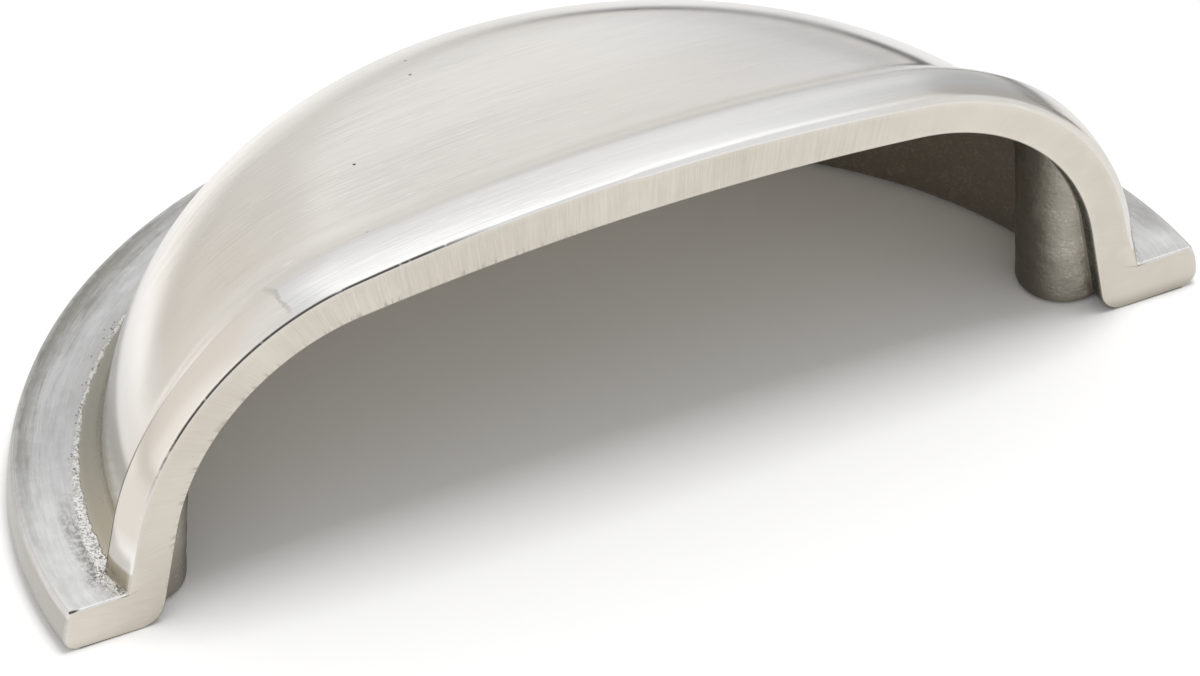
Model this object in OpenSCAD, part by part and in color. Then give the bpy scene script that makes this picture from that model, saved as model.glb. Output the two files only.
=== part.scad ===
// Half-round cup pull, cast in one piece, with a flat flange and two tapped screw bosses.
// Origin: midway between the screw holes, on the mounting face. +Z leaves the drawer front,
// +X runs along the pull and the mouth of the cup looks along -Y.

/* [Overall] */
// Length over the bulge of the flange edge
length = 93; // [88:0.5:120]
// Depth from the front face to the back of the flange
depth = 43; // [38:0.5:56]

/* [Flange] */
// Thickness of the flange
flange_thickness = 3.6; // [2.5:0.1:5]
// How far the flange edge swells beyond its crisp top corner
edge_bulge = 0.5; // [0.1:0.1:1]
// Rounding of the flange edge where it meets the mounting face
edge_rounding = 1.2; // [0.3:0.1:2]
// Radius of the cove between the flange and the cup
cove_radius = 1.9; // [0.8:0.1:2.6]

/* [Cup] */
// Width of the cup, measured on the top of the flange
cup_width = 79.6; // [76:0.2:84]
// Height of the crown of the cup above the mounting face
cup_height = 25.2; // [21:0.2:32]
// Inward lean of the lower wall of the cup, in degrees
wall_lean = 9.5; // [4:0.5:14]
// Radius of the shoulder between the wall and the crown
shoulder_radius = 19.2; // [15:0.2:20]
// Radius of the shallow arc over the crown
crown_radius = 151; // [110:1:240]

/* [Cavity] */
// Thickness of the side wall of the cup
side_wall = 1.7; // [1.4:0.1:2.4]
// Thickness of the roof of the cup
roof_wall = 2; // [1.5:0.1:3]
// Radius of the shoulder inside the cup
cavity_shoulder_radius = 16.8; // [14:0.2:17.6]
// Radius of the shallow arc under the crown
cavity_crown_radius = 200; // [150:1:300]
// Rounding of the inner edge of the mounting face
inner_rounding = 2; // [0.6:0.1:2.6]

/* [Lip] */
// Height of the lip above the cup, at the front face
lip_rise = 1.6; // [0.8:0.1:2.2]
// Extra height of the crest of the lip, behind the front face
lip_flare = 0.45; // [0:0.05:0.8]
// Distance from the front face to the crest of the lip
lip_crest = 3; // [1.5:0.1:4]
// Length of the hollow flank behind the crest, over the crown of the cup
lip_flank = 5; // [3:0.1:7]
// Length of the flank at the feet, where it drops off steeply
lip_flank_foot = 2.6; // [1:0.1:3]
// Rounding of the lip where it meets the front face
lip_edge = 0.3; // [0.1:0.05:0.6]

/* [Screw bosses] */
// Distance between the two screw holes
screw_spacing = 76; // [72:0.5:76.5]
// Distance from the front face to the screw holes
boss_setback = 5.2; // [4.6:0.1:9]
// Diameter of a boss at the mounting face
boss_diameter = 6.9; // [6:0.1:8.4]
// Draft angle of a boss, in degrees
boss_draft = 1.2; // [0:0.1:2]
// Rounding of the lower edge of a boss
boss_rounding = 0.7; // [0.2:0.1:1]
// Diameter of the tapped hole, without its thread
hole_diameter = 3.3; // [2.4:0.1:3.4]
// Depth of the full diameter of the tapped hole
hole_depth = 3.5; // [2.5:0.5:4]

/* [Hidden] */

half_length = length / 2;
// The plan is drawn round, and squeezed front to back by this ratio
plan_ratio = depth / half_length;
// Segments in a full turn of the round plan, in the crown arc and in the small arcs
turn_steps = 120;
arc_steps = 7;
small_arc_steps = 5;
// Sections of the lip from its edge to its crest, and along its flank
rise_steps = 4;
flank_steps = 8;
// How far the lip is carried down inside the cup, so that the two join
lip_sink = 0.6;
drill_point_angle = 118;
overshoot = 1;

// Arch of three arcs and two leaning walls: [half width, level of it, shoulder, top, crown]
cup_arch = [cup_width / 2, flange_thickness, shoulder_radius, cup_height, crown_radius];
cavity_arch = [
    cup_width / 2 - side_wall / cos(wall_lean),
    flange_thickness,
    cavity_shoulder_radius,
    cup_height - roof_wall,
    cavity_crown_radius
];

// Distance of the leaning wall from the origin, along the wall's own normal
function wall_reach(arch) = arch[0] * cos(wall_lean) + arch[1] * sin(wall_lean);

// Half width of the leaning wall at level z
function wall_at(arch, z) = (wall_reach(arch) - z * sin(wall_lean)) / cos(wall_lean);

function crown_centre(arch) = arch[3] - arch[4];

// Centre of the shoulder arc, tangent to the crown arc and to the leaning wall
function shoulder_centre(arch) =
    let (
        inner = wall_reach(arch) - arch[2],
        reach = arch[4] - arch[2],
        low = crown_centre(arch),
        rise = low * cos(wall_lean) + sqrt(reach ^ 2 - (inner - low * sin(wall_lean)) ^ 2)
    )
    [inner * cos(wall_lean) - rise * sin(wall_lean), inner * sin(wall_lean) + rise * cos(wall_lean)];

// Angle from the vertical at which the crown arc gives way to the shoulder arc
function crown_angle(arch) =
    let (centre = shoulder_centre(arch))
    atan2(centre[0], centre[1] - crown_centre(arch));

function arc(centre, radius, from, to, steps) = [
    for (i = [0:steps])
        let (a = from + (to - from) * i / steps)
        centre + radius * [cos(a), sin(a)]
];

// Half of the arch, from the middle of the crown to the foot of the shoulder
function half_arch(arch) =
    let (
        turn = 90 - crown_angle(arch),
        shoulder = arc(shoulder_centre(arch), arch[2], turn, wall_lean, 2 * arc_steps)
    )
    concat(
        arc([0, crown_centre(arch)], arch[4], 90, turn, arc_steps),
        [for (i = [1:len(shoulder) - 1]) shoulder[i]]
    );

// Outward normal of the half arch at a point [r, z] on it
function arch_normal(arch, point) =
    let (
        shoulder = shoulder_centre(arch),
        on_crown = atan2(point[0], point[1] - crown_centre(arch)) < crown_angle(arch),
        on_wall = point[1] < shoulder[1] + arch[2] * sin(wall_lean) - 0.001,
        from_centre = point - (on_crown ? [0, crown_centre(arch)] : shoulder)
    )
    on_wall ? [cos(wall_lean), sin(wall_lean)] : from_centre / norm(from_centre);

// Half section of the solid cup with its cove and flange, from the axis outwards. It runs on below
// the mounting face, where the casting is trimmed flat.
function outer_profile() =
    let (
        cove_level = flange_thickness + cove_radius,
        cove_x = wall_at(cup_arch, cove_level) + cove_radius / cos(wall_lean),
        swell = flange_thickness - edge_rounding,
        bulge_radius = (swell ^ 2 + edge_bulge ^ 2) / (2 * edge_bulge),
        bulge_centre = [half_length - bulge_radius, edge_rounding],
        edge_centre = [half_length - edge_rounding, edge_rounding]
    )
    concat(
        [[0, -overshoot]],
        half_arch(cup_arch),
        arc([cove_x, cove_level], cove_radius, 180 + wall_lean, 270, small_arc_steps),
        arc(bulge_centre, bulge_radius, asin(swell / bulge_radius), 0, small_arc_steps - 2),
        [for (i = [1:small_arc_steps]) arc(edge_centre, edge_rounding, 0, -90, small_arc_steps)[i]],
        [[edge_centre[0], -overshoot]]
    );

// Half section of the cavity, whose lower edge opens out round the inner rounding
function cavity_profile() =
    let (round_x = wall_at(cavity_arch, inner_rounding) + inner_rounding / cos(wall_lean))
    concat(
        [[0, -overshoot]],
        half_arch(cavity_arch),
        arc([round_x, inner_rounding], inner_rounding, 180 + wall_lean, 270, small_arc_steps),
        [[round_x, -overshoot]]
    );

// Height of the lip above the cup, from its rounded front edge up to its crest
function rise_height(y) =
    let (edge_drop = y < lip_edge ? lip_edge - sqrt(lip_edge ^ 2 - (lip_edge - y) ^ 2) : 0)
    lip_rise + lip_flare * sin(90 * y / lip_crest) - edge_drop;

// Length of the flank behind a point whose normal is given: long on the crown, short at the feet
function flank_length(normal) = lip_flank_foot + (lip_flank - lip_flank_foot) * normal[1] ^ 2;

// Height of the lip at a share of the way down its flank, whose crest is soft on the crown and
// crisp at the feet
function flank_height(share, normal) =
    let (soft = (1 + cos(180 * share)) / 2, crisp = 1 - sin(90 * share))
    (lip_rise + lip_flare) * (crisp + (soft - crisp) * normal[1] ^ 2);

// Depths of the sections between the front face and the crest
rise_depths = concat(
    [0, lip_edge * (1 - cos(45))],
    [for (i = [0:rise_steps - 1]) lip_edge + (lip_crest - lip_edge) * i / rise_steps]
);

// Point of the cup's section at depth y, raised along its normal, from a point of its half arch
function lip_point(point, y, height) =
    let (
        back = y / plan_ratio,
        near = shoulder_centre(cup_arch)[0],
        normal = arch_normal(cup_arch, point),
        squeeze = sqrt(near ^ 2 - back ^ 2) / near,
        x = point[0] > near ? sqrt(point[0] ^ 2 - back ^ 2) : point[0] * squeeze,
        low = crown_centre(cup_arch),
        z = point[0] > near ? point[1] : low + sqrt(crown_radius ^ 2 - x ^ 2 - back ^ 2)
    )
    [x + height * normal[0], back, z + height * normal[1]];

// Right half of each section of the lip, from the front face to the sunk end of the flank
function lip_rows(half) = concat(
    [for (y = rise_depths) [for (p = half) lip_point(p, y, rise_height(y))]],
    [
        for (i = [0:flank_steps - 1])
            let (share = i / flank_steps)
            [
                for (p = half)
                    let (normal = arch_normal(cup_arch, p))
                    let (y = lip_crest + share * flank_length(normal))
                    lip_point(p, y, flank_height(share, normal))
            ]
    ],
    [[for (p = half) lip_point(p, lip_crest + lip_flank, -lip_sink)]]
);

// Solid arch-shaped slab that carries the lip, lofted through its sections
module lip() {
    root = [wall_at(cup_arch, flange_thickness / 2), flange_thickness / 2];
    half = concat(half_arch(cup_arch), [root]);
    last = len(half) - 1;
    rows = [
        for (row = lip_rows(half))
            concat([for (i = [last:-1:1]) [-row[i][0], row[i][1], row[i][2]]], row)
    ];
    size = len(rows[0]);
    sides = [
        for (j = [0:len(rows) - 2], i = [0:size - 1])
            let (k = (i + 1) % size)
            each [
                [j * size + i, (j + 1) * size + i, (j + 1) * size + k],
                [j * size + i, (j + 1) * size + k, j * size + k]
            ]
    ];
    front = [for (i = [0:size - 1]) i];
    back = [for (i = [size - 1:-1:0]) (len(rows) - 1) * size + i];
    polyhedron([for (row = rows) each row], concat(sides, [front, back]));
}

// Cup and flange without their cavity
module outer_form() {
    rotate_extrude(angle = 180, $fn = turn_steps) polygon(outer_profile());
    lip();
}

module cavity() {
    rotate_extrude($fn = turn_steps) polygon(cavity_profile());
}

// Drafted boss with a rounded lower edge, standing on the mounting face
module boss() {
    boss_radius = boss_diameter / 2;
    top_radius = boss_radius + cup_height * tan(boss_draft);
    round_centre = [boss_radius - boss_rounding, boss_rounding];
    foot = arc(round_centre, boss_rounding, 270, 360, small_arc_steps);
    rotate_extrude($fn = 48)
        polygon(
            concat(
                [[0, -overshoot], [foot[0][0], -overshoot]],
                foot,
                [[top_radius, cup_height], [0, cup_height]]
            )
        );
}

// Places its children at both screw holes
module at_screws() {
    for (side = [-1, 1])
        translate([side * screw_spacing / 2, 0, 0]) children();
}

// The casting as it leaves the mould, with its front face at y = 0
module rough_casting() {
    scale([1, plan_ratio, 1]) {
        difference() {
            outer_form();
            cavity();
        }
        intersection() {
            outer_form();
            scale([1, 1 / plan_ratio, 1]) translate([0, boss_setback, 0]) at_screws() boss();
        }
    }
}

// The casting with its mounting face ground flat
module casting() {
    difference() {
        rough_casting();
        translate([-length / 2 - overshoot, -overshoot, -2 * overshoot])
            cube([length + 2 * overshoot, depth + 2 * overshoot, 2 * overshoot]);
    }
}

// Blind hole with a drill point, entered from the mounting face
module screw_hole() {
    hole_radius = hole_diameter / 2;
    translate([0, 0, -overshoot]) cylinder(r = hole_radius, h = hole_depth + overshoot, $fn = 48);
    translate([0, 0, hole_depth])
        cylinder(r1 = hole_radius, r2 = 0, h = hole_radius / tan(drill_point_angle / 2), $fn = 48);
}

module cup_pull() {
    color([0.74, 0.72, 0.68])
        difference() {
            translate([0, -boss_setback, 0]) casting();
            at_screws() screw_hole();
        }
}

cup_pull();
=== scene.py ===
import bmesh
import bpy
import math
import numpy as np
from mathutils import Matrix, Vector


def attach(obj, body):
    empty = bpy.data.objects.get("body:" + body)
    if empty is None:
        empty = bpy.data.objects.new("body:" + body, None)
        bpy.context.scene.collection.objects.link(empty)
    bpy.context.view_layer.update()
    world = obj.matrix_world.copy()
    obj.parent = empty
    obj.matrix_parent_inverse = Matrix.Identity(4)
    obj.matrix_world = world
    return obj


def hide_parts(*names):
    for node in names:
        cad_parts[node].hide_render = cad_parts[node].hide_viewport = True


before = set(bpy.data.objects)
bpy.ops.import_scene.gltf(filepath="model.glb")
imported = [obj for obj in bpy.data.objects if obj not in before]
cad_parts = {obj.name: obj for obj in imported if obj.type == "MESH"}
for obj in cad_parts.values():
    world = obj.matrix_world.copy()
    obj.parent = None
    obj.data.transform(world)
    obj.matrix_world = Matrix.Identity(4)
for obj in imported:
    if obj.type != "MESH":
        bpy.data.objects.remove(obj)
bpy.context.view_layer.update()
mm = 0.001  # the sizes below are in millimetres
far = 9.0  # for points that lie near no edge and no cove
print("frame loaded")

cup = {
    "halfLength": 46.5,
    "depth": 43.0,
    "halfWidth": 39.8,
    "level": 3.6,  # top of the flange
    "shoulder": 19.2,
    "top": 25.2,
    "crown": 151.0,
    "lean": 9.5,
    "cove": 1.9,
    "bulge": 0.5,
    "bottomRounding": 1.2,
    "topCorner": 0.16,
    "shrink": 0.9999,  # keeps the true curves inside the faceted box of the source
}
hollow = {
    "sideWall": 1.7,
    "roofWall": 2.0,
    "shoulder": 16.8,
    "crown": 200.0,
    "rounding": 2.0,
    "frontEdge": 0.09,
}
lip = {
    "rise": 1.6,
    "flare": 0.45,
    "crest": 3.0,
    "crownFlank": 5.0,
    "footFlank": 2.6,
    "crispEdge": 0.14,
    "wornEdge": 0.5,
    "worn": (-26.0, 24.0),  # x from where the edge is crisp to where it is worn
    "flangeEdge": 0.16,
}
grid = {
    "splitDepth": 8.6,  # sections in front of this depth, rings behind it
    "crown": 22,
    "crownSpread": 1.7,
    "shoulder": 44,
    "wall": 6,
    "cove": 10,
    "flangeTop": 10,
    "corner": 4,
    "side": 5,
    "under": 7,
    "foot": 14,
    "turn": 230,
    "band": 8,
    "settle": (12.0, 33.0),  # radius over which the sections come to follow the rings
    "coveBlend": 8,
    "footBlend": (-1.6, 0.3),
    "rounding": (90, 67.5, 45, 22.5),
    "toCrest": (0, 0.07, 0.16, 0.28, 0.42, 0.56, 0.7, 0.81, 0.9, 0.96),
    "pastCrest": (0, 0.02, 0.05, 0.1, 0.17, 0.25, 0.34, 0.43, 0.52, 0.61, 0.7, 0.79, 0.87, 0.94, 1.0),
}
planRatio = cup["depth"] / cup["halfLength"]
lean = math.radians(cup["lean"])
splitRadius = grid["splitDepth"] / planRatio


def archOf(halfWidth, level, shoulder, top, crown):
    # closed form of an arch of one crown arc, two shoulder arcs and two leaning walls
    wallReach = halfWidth * math.cos(lean) + level * math.sin(lean)
    inner, reach, low = wallReach - shoulder, crown - shoulder, top - crown
    rise = low * math.cos(lean) + math.sqrt(reach**2 - (inner - low * math.sin(lean)) ** 2)
    centreX = inner * math.cos(lean) - rise * math.sin(lean)
    centreZ = inner * math.sin(lean) + rise * math.cos(lean)
    return {
        "wallReach": wallReach,
        "shoulder": shoulder,
        "crown": crown,
        "low": low,
        "centre": (centreX, centreZ),
        "turn": math.atan2(centreX, centreZ - low),
    }


def wallAt(arch, z):
    return (arch["wallReach"] - z * math.sin(lean)) / math.cos(lean)


outerArch = archOf(cup["halfWidth"], cup["level"], cup["shoulder"], cup["top"], cup["crown"])
innerArch = archOf(
    cup["halfWidth"] - hollow["sideWall"] / math.cos(lean),
    cup["level"],
    hollow["shoulder"],
    cup["top"] - hollow["roofWall"],
    hollow["crown"],
)


def archStations(arch):
    # radius, height and normal from the split circle to the foot of the shoulder
    join = arch["crown"] * math.sin(arch["turn"])
    share = np.arange(grid["crown"]) / grid["crown"]
    r = splitRadius + (join - splitRadius) * share ** grid["crownSpread"]
    z = arch["low"] + np.sqrt(arch["crown"] ** 2 - r**2)
    crownPart = np.c_[r, z, r / arch["crown"], (z - arch["low"]) / arch["crown"]]
    a = np.linspace(math.pi / 2 - arch["turn"], lean, grid["shoulder"] + 1)
    c, s = np.cos(a), np.sin(a)
    centre, radius = arch["centre"], arch["shoulder"]
    return np.r_[crownPart, np.c_[centre[0] + radius * c, centre[1] + radius * s, c, s]]


def arcStations(centre, radius, fromAngle, toAngle, count, outward=1):
    a = np.radians(np.linspace(fromAngle, toAngle, count + 1))
    c, s = np.cos(a), np.sin(a)
    return np.c_[centre[0] + radius * c, centre[1] + radius * s, outward * c, outward * s]


def wallStations(arch, fromLevel, toLevel, count):
    z = np.linspace(fromLevel, toLevel, count + 2)[1:-1]
    flat = np.full(count, 1.0)
    return np.c_[wallAt(arch, z), z, flat * math.cos(lean), flat * math.sin(lean)]


onArch, onWall, onCove, onTop, onRim = range(5)  # stretches of the outer section


def outerStations():
    level, coveTop, bottom = cup["level"], cup["level"] + cup["cove"], cup["bottomRounding"]
    upper = archStations(outerArch)
    wall = wallStations(outerArch, upper[-1, 1], coveTop, grid["wall"])
    coveX = wallAt(outerArch, coveTop) + cup["cove"] / math.cos(lean)
    cove = arcStations((coveX, coveTop), cup["cove"], 180 + cup["lean"], 270, grid["cove"], -1)
    swell = level - bottom
    bulgeRadius = (swell**2 + cup["bulge"] ** 2) / (2 * cup["bulge"])
    bulgeX = cup["halfLength"] - bulgeRadius
    small = cup["topCorner"]
    cornerZ = level - small
    cornerX = bulgeX + math.sqrt((bulgeRadius - small) ** 2 - (cornerZ - bottom) ** 2)
    slope = math.degrees(math.atan2(cornerZ - bottom, cornerX - bulgeX))
    share = np.linspace(0, 1, grid["flangeTop"] + 1)[1:-1]
    share = 0.5 - 0.5 * np.cos(math.pi * share)
    topX = coveX + (cornerX - coveX) * share
    flange = np.c_[topX, np.full(len(topX), level), np.zeros(len(topX)), np.ones(len(topX))]
    corner = arcStations((cornerX, cornerZ), small, 90, slope, grid["corner"])
    side = arcStations((bulgeX, bottom), bulgeRadius, slope, 0, grid["side"])[1:]
    under = arcStations((cup["halfLength"] - bottom, bottom), bottom, 0, -90, grid["under"])[1:]
    parts = [upper, wall, cove, flange, np.r_[corner, side, under]]
    marks = np.concatenate([np.full(len(p), i) for i, p in enumerate(parts)])
    return np.concatenate(parts), marks, share


def innerStations(count):
    upper = archStations(innerArch)
    radius = hollow["rounding"]
    roundX = wallAt(innerArch, radius) + radius / math.cos(lean)
    foot = arcStations((roundX, radius), radius, 180 + cup["lean"], 270, grid["foot"], -1)
    wallCount = count - len(upper) - len(foot)
    return np.r_[upper, wallStations(innerArch, upper[-1, 1], foot[0, 1], wallCount), foot]


def smooth(low, high, value):
    t = np.clip((value - low) / (high - low), 0, 1)
    return t * t * (3 - 2 * t)


def heightAt(arch, r):
    join = arch["crown"] * math.sin(arch["turn"])
    onCrown = arch["low"] + np.sqrt(np.maximum(arch["crown"] ** 2 - r**2, 0))
    centreX, centreZ = arch["centre"]
    onShoulder = centreZ + np.sqrt(np.maximum(arch["shoulder"] ** 2 - (r - centreX) ** 2, 0))
    return np.where(r < join, onCrown, onShoulder)


def normalAt(arch, r, z):
    join = arch["crown"] * math.sin(arch["turn"])
    centreX = np.where(r < join, 0, arch["centre"][0])
    centreZ = np.where(r < join, arch["low"], arch["centre"][1])
    size = np.hypot(r - centreX, z - centreZ)
    return (r - centreX) / size, (z - centreZ) / size


def coveEnd(back):
    coveTop = cup["level"] + cup["cove"]
    return math.sqrt((wallAt(outerArch, coveTop) + cup["cove"] / math.cos(lean)) ** 2 - back**2)


def depthRows(edge):
    # depths and edge drops from the front face to the split, close together at the edge and crest
    crest, split = lip["crest"], grid["splitDepth"]
    a = np.radians(np.array(grid["rounding"]))
    rounding = [(edge * (1 - math.sin(t)), edge * (1 - math.cos(t))) for t in a]
    toCrest = [(edge + (crest - edge) * t, 0.0) for t in grid["toCrest"]]
    return rounding + toCrest + [(crest + (split - crest) * t, 0.0) for t in grid["pastCrest"]]


skinValues = ("depth", "gap", "share", "along", "across", "onFlange", "root", "edge")


class Sheet:
    # One skin of the pull: sections parallel to the front face near it, then rings round the back.
    # Points keep what the lip needs: its direction, how far back they lie, and their share of it.
    def __init__(self, stations, arch, marks=None, flangeShare=None):
        self.stations, self.arch, self.marks, self.flangeShare = stations, arch, marks, flangeShare
        self.isOuter, self.last = marks is not None, len(stations) - 1
        self.archCount = grid["crown"] + grid["shoulder"] + 1
        self.points, self.outward, self.values = [], [], []
        self.along = np.zeros(len(stations))
        section = [self.sectionPoint(k, 1, 0.0, 0.0)[0] for k in range(len(stations))]
        self.along[1:] = np.cumsum(np.linalg.norm(np.diff(section, axis=0), axis=1))
        self.cornered, self.onFlange = np.zeros(len(stations)), np.zeros(len(stations))
        self.root, self.edge = np.full(len(stations), far), np.full(len(stations), far)
        if self.isOuter:
            cove, foot = self.first(onCove), self.first(onTop) - 1
            blend = grid["coveBlend"]
            self.cornered = smooth(cove - blend, cove + blend, np.arange(len(stations)))
            self.root = self.along - self.along[foot]
            self.onFlange = smooth(*grid["footBlend"], self.root)
            self.edge = np.abs(self.along - self.along[self.first(onRim) + grid["corner"] // 2])

    def first(self, kind):
        return int(np.argmax(self.marks == kind))

    def add(self, p, outward, depth, gap, share, j, edge):
        k = abs(j)
        along = math.copysign(self.along[k], j)
        self.points.append(p)
        self.outward.append(outward)
        self.values.append((depth, gap, share, along, 0.0, self.onFlange[k], self.root[k], edge))
        return len(self.points) - 1

    def sectionPoint(self, j, side, y, drop):
        r, z, nr, nz = self.stations[j]
        back = y / planRatio
        weight = 1.0 if j >= self.archCount else float(smooth(*grid["settle"], r))
        x = math.sqrt(max(r**2 - back**2 * weight - splitRadius**2 * (1 - weight), 0.0)) if j else 0.0
        rNow = math.hypot(x, back)
        if j < self.archCount and weight < 1:
            z = float(heightAt(self.arch, rNow))
            nr, nz = (float(v) for v in normalAt(self.arch, rNow, z))
        tilt = nr * (x / rNow if rNow > 1e-9 else 0.0)
        size = math.hypot(tilt, nz)
        nx, nz = tilt / size, nz / size
        p = np.array([side * (x - drop * nx), y, z - drop * nz])
        if not self.isOuter:
            return p, (0.0, 0.0, 0.0), 0.0, 0.0
        kind, gap, share = self.marks[j], 0.0, 1.0
        outward = (side * nx, 0.0, nz) if kind == onArch else (side / math.cos(lean), 0.0, 0.0)
        if kind >= onCove:
            wall = math.sqrt(wallAt(outerArch, max(z, cup["level"])) ** 2 - back**2)
            gap = ((x if kind == onCove else coveEnd(back)) - wall) * math.cos(lean)
        if kind == onTop:
            share = 1 - self.flangeShare[j - self.first(onTop)]
        if kind == onRim:
            share = 0.0
        return p, outward, gap, share

    def edgeSize(self, side, k):
        if not self.isOuter:
            return hollow["frontEdge"]
        worn = float(smooth(*lip["worn"], side * self.stations[k, 0]))
        worn = lip["crispEdge"] + (lip["wornEdge"] - lip["crispEdge"]) * worn
        return lip["flangeEdge"] + (worn - lip["flangeEdge"]) * (1 - self.cornered[k])

    def layFront(self):
        # rows of indices, each from the left foot to the right foot
        self.front = []
        for i in range(len(depthRows(0))):
            row = []
            for j in range(-self.last, self.last + 1):
                side, k = (-1 if j < 0 else 1), abs(j)
                y, drop = depthRows(self.edgeSize(side, k))[i]
                drop = drop if self.isOuter else -drop
                p, outward, gap, share = self.sectionPoint(k, side, y, drop)
                row.append(self.add(p, outward, y, gap, share, j, min(y, self.edge[k])))
            self.front.append(row)

    def layRings(self):
        self.rings = {}
        split = self.front[-1]
        for j in range(1, self.last + 1):
            r, z = self.stations[j][:2]
            start = math.asin(min(splitRadius / r, 1.0))
            ring = [split[self.last + j]]
            for f in np.linspace(start, math.pi - start, grid["turn"] + 1)[1:-1]:
                x, y = r * math.cos(f), planRatio * r * math.sin(f)
                ring.append(self.add(np.array([x, y, z]), (0.0, 0.0, 0.0), y, 0.0, 0.0, j, self.edge[j]))
            self.rings[j] = ring + [split[self.last - j]]

    def layFaces(self):
        faces, front, rings = [], self.front, self.rings
        for a, b in zip(front, front[1:]):
            for j in range(2 * self.last):
                faces.append((a[j], a[j + 1], b[j + 1], b[j]))
        pole = front[-1][self.last]
        for k in range(grid["turn"]):
            faces.append((pole, rings[1][k], rings[1][k + 1]))
        for j in range(1, self.last):
            for k in range(grid["turn"]):
                faces.append((rings[j][k], rings[j + 1][k], rings[j + 1][k + 1], rings[j][k + 1]))
        self.faces = faces if self.isOuter else [f[::-1] for f in faces]
        self.rim = [row[-1] for row in front] + rings[self.last][1:-1] + [row[0] for row in front[::-1]]

    def build(self):
        self.layFront()
        self.layRings()
        self.layFaces()
        return self


finishNames = ("brushedNickel", "faceNickel", "castNickel")
brushed, faced, cast = range(3)


class Shell:
    # the two skins joined by the band of the front face and by the mounting face
    def __init__(self):
        stations, marks, flangeShare = outerStations()
        outer = Sheet(stations, outerArch, marks, flangeShare).build()
        inner = Sheet(innerStations(len(stations)), innerArch).build()
        shift = len(outer.points)
        self.points, self.outward = outer.points + inner.points, outer.outward + inner.outward
        self.values = outer.values + inner.values
        self.faces = outer.faces + [tuple(v + shift for v in f) for f in inner.faces]
        self.finishes = [brushed] * len(outer.faces) + [cast] * len(inner.faces)
        strips = self.layBand(outer.front[0], [v + shift for v in inner.front[0]])
        self.layMount(outer.rim, [v + shift for v in inner.rim], strips)

    def between(self, a, c, t, outward, values):
        self.points.append(self.points[a] * (1 - t) + self.points[c] * t)
        self.outward.append(outward)
        self.values.append(values)
        return len(self.points) - 1

    def layBand(self, outside, inside):
        strips = [outside]
        for b in range(1, grid["band"]):
            t, strip = b / grid["band"], []
            for a, c in zip(outside, inside):
                depth, gap, share, along = self.values[a][:4]
                width = float(np.linalg.norm(self.points[a] - self.points[c]))
                share = share * (1 - t) if gap == 0 else 0.0
                values = (depth, gap, share, along, t * width, 0.0, far, min(t, 1 - t) * width)
                strip.append(self.between(a, c, t, self.outward[a], values))
            strips.append(strip)
        strips.append(inside)
        for a, c in zip(outside, inside):
            width = float(np.linalg.norm(self.points[a] - self.points[c]))
            self.values[c] = (*self.values[c][:3], self.values[a][3], width, *self.values[c][5:])
        self.layQuads(strips, faced, False)
        return strips

    def layMount(self, outside, inside, strips):
        rows = [[s[-1] for s in strips]]
        for a, c in list(zip(outside, inside))[1:-1]:
            shares = (b / grid["band"] for b in range(1, grid["band"]))
            values = (0.0, 0.0, 0.0, 0.0, 0.0, 0.0, far, far)
            rows.append([a, *(self.between(a, c, t, (0.0, 0.0, 0.0), values) for t in shares), c])
        rows.append([s[0] for s in strips])
        self.layQuads(rows, cast, True)

    def layQuads(self, rows, finish, turned):
        for a, b in zip(rows, rows[1:]):
            for k in range(len(a) - 1):
                corners = (a[k], a[k + 1], b[k + 1], b[k])
                self.faces.append(corners if turned else (a[k], b[k], b[k + 1], a[k + 1]))
                self.finishes.append(finish)


def link(name, data):
    made = bpy.data.objects.new(name, data)
    bpy.context.scene.collection.objects.link(made)
    return made


def buildShell():
    shell = Shell()
    mesh = bpy.data.meshes.new("shell")
    place = (np.array(shell.points) - np.array([0, boss["setback"], 0])) * cup["shrink"]
    mesh.from_pydata((place * mm).tolist(), [], shell.faces)
    mesh.update()
    for name in finishNames:
        mesh.materials.append(bpy.data.materials.new(name))
    mesh.polygons.foreach_set("material_index", shell.finishes)
    for name, column in zip(skinValues, np.array(shell.values).T):
        scale = mm if name in ("depth", "gap") else 1.0
        mesh.attributes.new(name, "FLOAT", "POINT").data.foreach_set("value", column * scale)
    attribute = mesh.attributes.new("outward", "FLOAT_VECTOR", "POINT")
    attribute.data.foreach_set("vector", np.array(shell.outward).ravel())
    return link("shell", mesh)


def newTree(name, kind, sockets):
    tree = bpy.data.node_groups.new(name, kind)
    ids = {}
    for direction, socketType, label, value in sockets:
        socket = tree.interface.new_socket(label, in_out=direction, socket_type="NodeSocket" + socketType)
        if value is not None:
            socket.default_value = value
        ids[label] = socket.identifier
    return tree, ids, tree.nodes.new("NodeGroupInput").outputs, tree.nodes.new("NodeGroupOutput").inputs


def node(tree, kind, inputs=None, **settings):
    made = tree.nodes.new(kind)
    for key, value in settings.items():
        setattr(made, key, value)
    for key, value in (inputs or {}).items():
        socket = made.inputs[key]
        if isinstance(value, bpy.types.NodeSocket):
            tree.links.new(value, socket)
        else:
            socket.default_value = value
    return made


def maths(tree, operation, a, b=None, clamp=False):
    inputs = {0: a} if b is None else {0: a, 1: b}
    return node(tree, "ShaderNodeMath", inputs, operation=operation, use_clamp=clamp).outputs[0]


def chain(tree, operation, first, *others):
    for other in others:
        first = maths(tree, operation, first, other)
    return first


def product(tree, *values):
    return chain(tree, "MULTIPLY", *values)


def weighted(tree, *pairs):
    return chain(tree, "ADD", *(product(tree, value, share) for value, share in pairs))


def vectorMaths(tree, operation, a, b=None):
    inputs = {0: a} if b is None else {0: a, 1: b}
    return node(tree, "ShaderNodeVectorMath", inputs, operation=operation)


def scaled(tree, vector, factor):
    return node(tree, "ShaderNodeVectorMath", {0: vector, "Scale": factor}, operation="SCALE").outputs[0]


def split(tree, vector):
    return node(tree, "ShaderNodeSeparateXYZ", {0: vector}).outputs


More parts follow.
